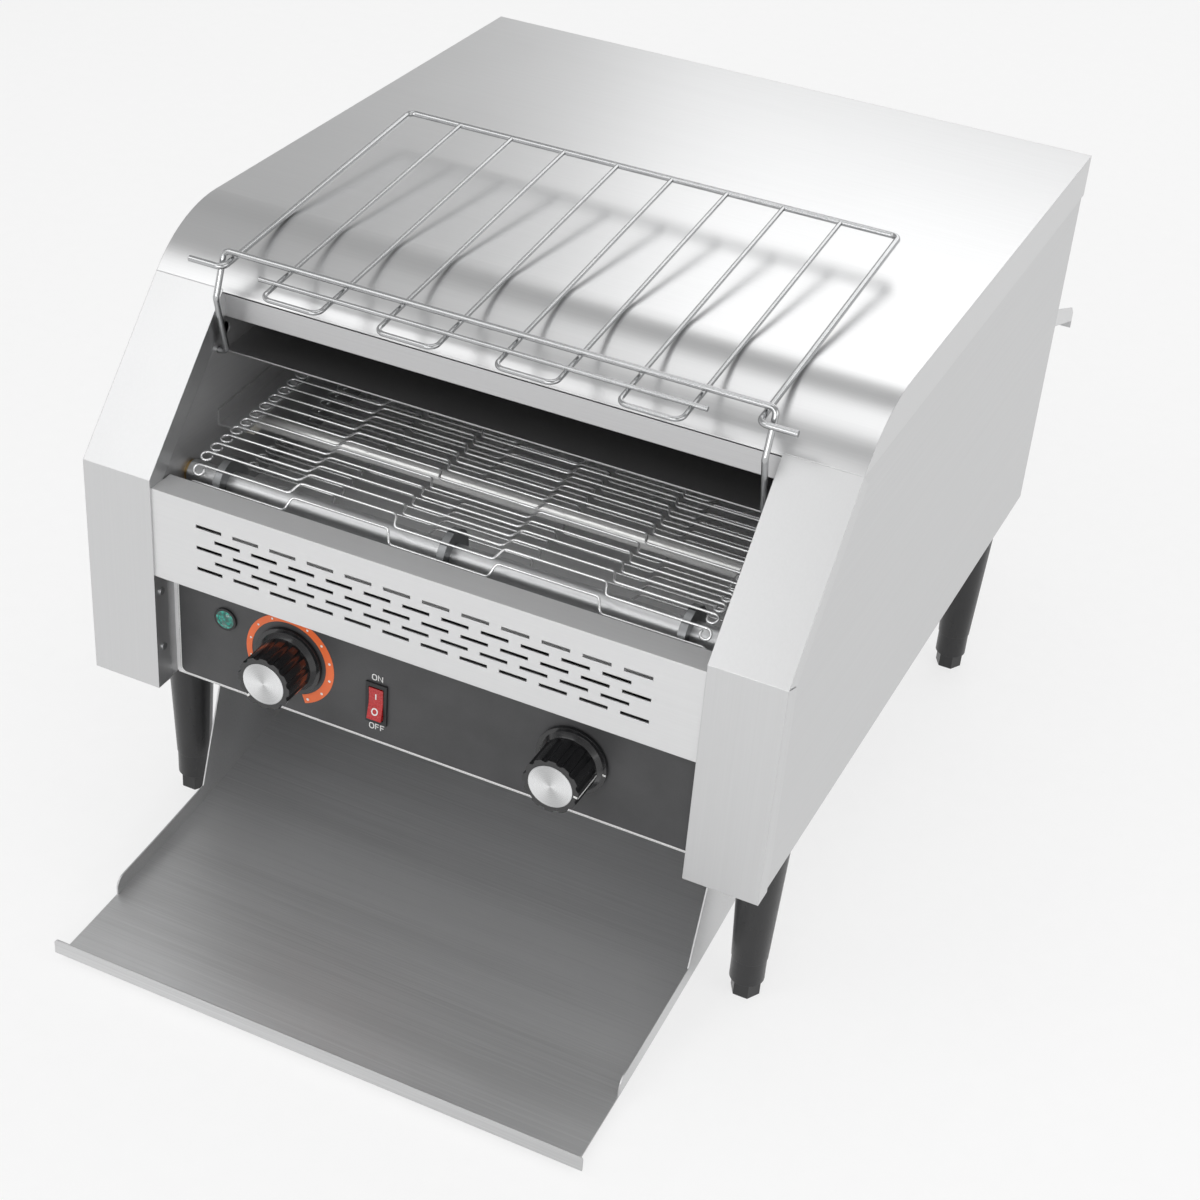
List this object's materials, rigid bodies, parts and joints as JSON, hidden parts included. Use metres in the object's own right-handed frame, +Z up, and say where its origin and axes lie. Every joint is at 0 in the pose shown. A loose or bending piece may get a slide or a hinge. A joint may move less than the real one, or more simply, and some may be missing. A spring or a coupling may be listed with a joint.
{
  "type": "conveyor toaster",
  "caption": "Free-standing conveyor toaster: wire belt in a front feed opening, control panel with knobs and rocker, pull-out tray below and a hinged wire rack on top.",
  "frame": {"origin": "bottom centre of the bounding box, on the floor under the feet", "axes": "+Z up, the feed opening and the controls face -Y, +X to the right seen from the front"},
  "size_m": [0.465, 0.7351, 0.4349],
  "materials": {
    "brushed_casing": "satin",
    "dull_sheet": "matte",
    "panel_print": "satin",
    "scale_print": "satin",
    "quartz": "gloss",
    "ceramic": "matte",
    "bright_wire": "gloss",
    "bronze": "satin",
    "machined_steel": "satin",
    "dark_metal": "satin",
    "black_plastic": "matte",
    "glossy_black": "gloss",
    "turned_cap": "satin",
    "lamp_lens": "gloss",
    "rocker_red": "gloss",
    "leg_black": "satin"
  },
  "bodies": {
    "casing": {"top_cover": "brushed_casing", "left_side_panel": "brushed_casing", "right_side_panel": "brushed_casing", "left_corner_cover": "brushed_casing", "right_corner_cover": "brushed_casing", "lintel": "dull_sheet", "slotted_panel": "brushed_casing", "control_panel": "dull_sheet", "control_overlay": "panel_print", "speed_scale": "scale_print", "base_plate": "dull_sheet", "back_panel": "brushed_casing", "rear_deflector": "brushed_casing", "left_inner_wall": "dull_sheet", "right_inner_wall": "dull_sheet", "inner_deck": "dull_sheet", "upper_reflector": "dull_sheet", "toast_slide": "dull_sheet", "upper_heaters": "quartz", "lower_heaters": "quartz", "heater_holders": "ceramic", "belt_rails": "dull_sheet", "conveyor_belt": "bright_wire", "bearings": "bronze", "drive_chain": "machined_steel", "gear_motor": "dark_metal", "motor_bracket": "dull_sheet", "fan_frame": "black_plastic", "terminal_block": "ceramic", "speed_controller": "dark_metal", "selector_switch": "ceramic", "lamp_bezel": "black_plastic", "indicator_lamp": "lamp_lens", "switch_housing": "black_plastic", "tray_runners": "dull_sheet", "cable_gland": "black_plastic", "legs": "leg_black", "fasteners": "machined_steel"},
    "drive_shaft_body": {"drive_shaft": "machined_steel", "drive_discs": "dark_metal", "shaft_sprocket": "machined_steel"},
    "front_roller_body": {"front_roller": "bright_wire", "roller_discs": "dark_metal"},
    "motor_output": {"motor_sprocket": "machined_steel"},
    "fan_rotor": {"fan_impeller": "black_plastic"},
    "speed_control": {"speed_spindle": "machined_steel", "speed_knob": "glossy_black", "speed_knob_cap": "turned_cap"},
    "selector_control": {"selector_spindle": "machined_steel", "selector_knob": "glossy_black", "selector_knob_cap": "turned_cap"},
    "rocker": {"power_rocker": "rocker_red"},
    "collection_tray": {"tray": "brushed_casing"},
    "bail": {"rack_bail": "bright_wire"},
    "top_rack": {"rack": "bright_wire"},
    "foot_front_left": {"front_left_foot": "leg_black"},
    "foot_front_right": {"front_right_foot": "leg_black"},
    "foot_rear_left": {"rear_left_foot": "leg_black"},
    "foot_rear_right": {"rear_right_foot": "leg_black"}
  },
  "joints": [
    {"name": "belt_drive", "type": "hinge", "parent": "casing", "child": "drive_shaft_body", "pos_m": [0, 0.2145, 0.29888], "axis": [1, 0, 0], "continuous": true},
    {"name": "belt_front_roller", "type": "hinge", "parent": "casing", "child": "front_roller_body", "pos_m": [0, -0.203, 0.277], "axis": [1, 0, 0], "continuous": true},
    {"name": "motor_shaft_turn", "type": "hinge", "parent": "casing", "child": "motor_output", "pos_m": [0, -0.0195, 0.174], "axis": [1, 0, 0], "continuous": true},
    {"name": "fan_spin", "type": "hinge", "parent": "casing", "child": "fan_rotor", "pos_m": [-0.095, 0.0305, 0.178], "axis": [0, 1, 0], "continuous": true},
    {"name": "speed_knob_turn", "type": "hinge", "parent": "casing", "child": "speed_control", "pos_m": [-0.099, -0.2259, 0.178], "axis": [0, -1, 0], "range_deg": [-300, 0]},
    {"name": "selector_turn", "type": "hinge", "parent": "casing", "child": "selector_control", "pos_m": [0.099, -0.2259, 0.178], "axis": [0, -1, 0], "range_deg": [0, 180]},
    {"name": "power_rocker_tilt", "type": "hinge", "parent": "casing", "child": "rocker", "pos_m": [-0.036, -0.2259, 0.168], "axis": [1, 0, 0], "range_deg": [0, 14]},
    {"name": "tray_slide", "type": "slide", "parent": "casing", "child": "collection_tray", "axis": [0, 1, 0], "range_m": [0, 0.08]},
    {"name": "bail_tilt", "type": "hinge", "parent": "casing", "child": "bail", "pos_m": [0, -0.16856, 0.34622], "axis": [1, 0, 0], "range_deg": [0, 35]},
    {"name": "rack_lift", "type": "hinge", "parent": "bail", "child": "top_rack", "pos_m": [0, -0.16856, 0.41478], "axis": [1, 0, 0], "range_deg": [0, 18]},
    {"name": "front_left_foot_screw", "type": "hinge", "parent": "casing", "child": "foot_front_left", "pos_m": [-0.21, -0.1745, 0], "axis": [0, 0, 1], "range_deg": [0, 1440]},
    {"name": "front_right_foot_screw", "type": "hinge", "parent": "casing", "child": "foot_front_right", "pos_m": [0.21, -0.1745, 0], "axis": [0, 0, 1], "range_deg": [0, 1440]},
    {"name": "rear_left_foot_screw", "type": "hinge", "parent": "casing", "child": "foot_rear_left", "pos_m": [-0.21, 0.2475, 0], "axis": [0, 0, 1], "range_deg": [0, 1440]},
    {"name": "rear_right_foot_screw", "type": "hinge", "parent": "casing", "child": "foot_rear_right", "pos_m": [0.21, 0.2475, 0], "axis": [0, 0, 1], "range_deg": [0, 1440]}
  ],
  "couplings": [
    {"joint": "belt_front_roller", "follows": "belt_drive", "ratio": 1},
    {"joint": "motor_shaft_turn", "follows": "belt_drive", "ratio": 1}
  ]
}
